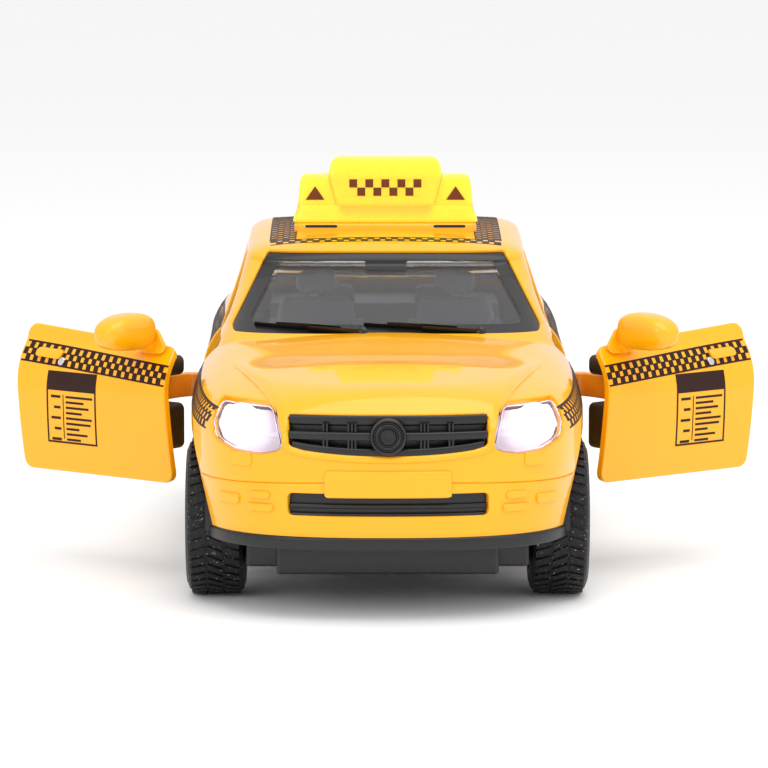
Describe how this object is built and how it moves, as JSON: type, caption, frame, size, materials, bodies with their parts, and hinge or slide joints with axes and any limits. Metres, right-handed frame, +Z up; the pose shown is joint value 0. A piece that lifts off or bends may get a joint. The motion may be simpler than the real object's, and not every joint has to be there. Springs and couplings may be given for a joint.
{
  "type": "toy taxi",
  "caption": "Die-cast toy saloon taxi with opening front doors, rolling wheels, pull-back motor, lit headlights and a roof sign.",
  "frame": {"origin": "on the ground under the middle of the car, at the bottom centre of its box with the doors open", "axes": "-Y forwards, +X to the car's own left, +Z up"},
  "size_m": [0.1124, 0.1453, 0.0607],
  "materials": {
    "body_paint": "gloss",
    "clear_plastic": "clear gloss",
    "sign_plastic": "translucent gloss",
    "black_plastic": "satin",
    "lamp_lens": "clear gloss",
    "chrome": "bright",
    "led_resin": "clear gloss",
    "red_lens": "gloss",
    "grey_plastic": "satin",
    "board": "satin",
    "switch_plastic": "satin",
    "steel": "bright",
    "spring_steel": "blued",
    "cell_steel": "bright",
    "brass": "bright",
    "speaker_black": "matt",
    "motor_plastic": "satin",
    "gear_plastic": "satin",
    "tyre": "matt",
    "rim_silver": "metallic"
  },
  "bodies": {
    "body": {"body_shell": "body_paint", "window_insert": "clear_plastic", "roof_sign": "sign_plastic", "grille": "black_plastic", "lower_grille": "black_plastic", "wipers": "black_plastic", "left_headlight_lens": "lamp_lens", "right_headlight_lens": "lamp_lens", "headlight_reflectors": "chrome", "headlight_leds": "led_resin", "led_leads": "steel", "left_tail_light": "red_lens", "right_tail_light": "red_lens", "interior_tub": "grey_plastic", "steering_wheel": "black_plastic", "circuit_board": "board", "door_switches": "switch_plastic", "chassis": "black_plastic", "chassis_screws": "steel", "battery_cover": "black_plastic", "battery_cover_screw": "steel", "button_cells": "cell_steel", "battery_contacts": "brass", "speaker": "speaker_black", "motor_case_left": "motor_plastic", "motor_case_right": "motor_plastic", "motor_arbors": "steel", "mainspring": "spring_steel", "hinge_pins": "steel"},
    "front_wheelset": {"front_axle": "steel", "front_left_tyre": "tyre", "front_right_tyre": "tyre", "front_left_rim": "rim_silver", "front_right_rim": "rim_silver"},
    "rear_wheelset": {"rear_axle": "steel", "axle_pinion": "gear_plastic", "rear_left_tyre": "tyre", "rear_right_tyre": "tyre", "rear_left_rim": "rim_silver", "rear_right_rim": "rim_silver"},
    "idler": {"idler_gear": "gear_plastic"},
    "drum": {"drum_gear": "gear_plastic"},
    "left_door_body": {"left_door": "body_paint", "left_door_trim": "black_plastic", "left_mirror": "body_paint"},
    "right_door_body": {"right_door": "body_paint", "right_door_trim": "black_plastic", "right_mirror": "body_paint"}
  },
  "joints": [
    {"name": "front_axle_spin", "type": "hinge", "parent": "body", "child": "front_wheelset", "pos_m": [0, -0.0455, 0.0115], "axis": [1, 0, 0], "continuous": true},
    {"name": "rear_axle_spin", "type": "hinge", "parent": "body", "child": "rear_wheelset", "pos_m": [0, 0.0395, 0.0115], "axis": [1, 0, 0], "continuous": true},
    {"name": "idler_spin", "type": "hinge", "parent": "body", "child": "idler", "pos_m": [0, 0.04735, 0.01603], "axis": [1, 0, 0], "continuous": true},
    {"name": "drum_spin", "type": "hinge", "parent": "body", "child": "drum", "pos_m": [0, 0.05596, 0.01883], "axis": [1, 0, 0], "continuous": true},
    {"name": "left_door_hinge", "type": "hinge", "parent": "body", "child": "left_door_body", "pos_m": [0.0225, -0.0327, 0.028], "axis": [0, 0, 1], "range_deg": [0, 52]},
    {"name": "right_door_hinge", "type": "hinge", "parent": "body", "child": "right_door_body", "pos_m": [-0.0225, -0.0327, 0.028], "axis": [0, 0, 1], "range_deg": [-52, 0]}
  ],
  "couplings": [
    {"joint": "idler_spin", "follows": "rear_axle_spin", "ratio": -0.5},
    {"joint": "drum_spin", "follows": "rear_axle_spin", "ratio": 0.25}
  ]
}
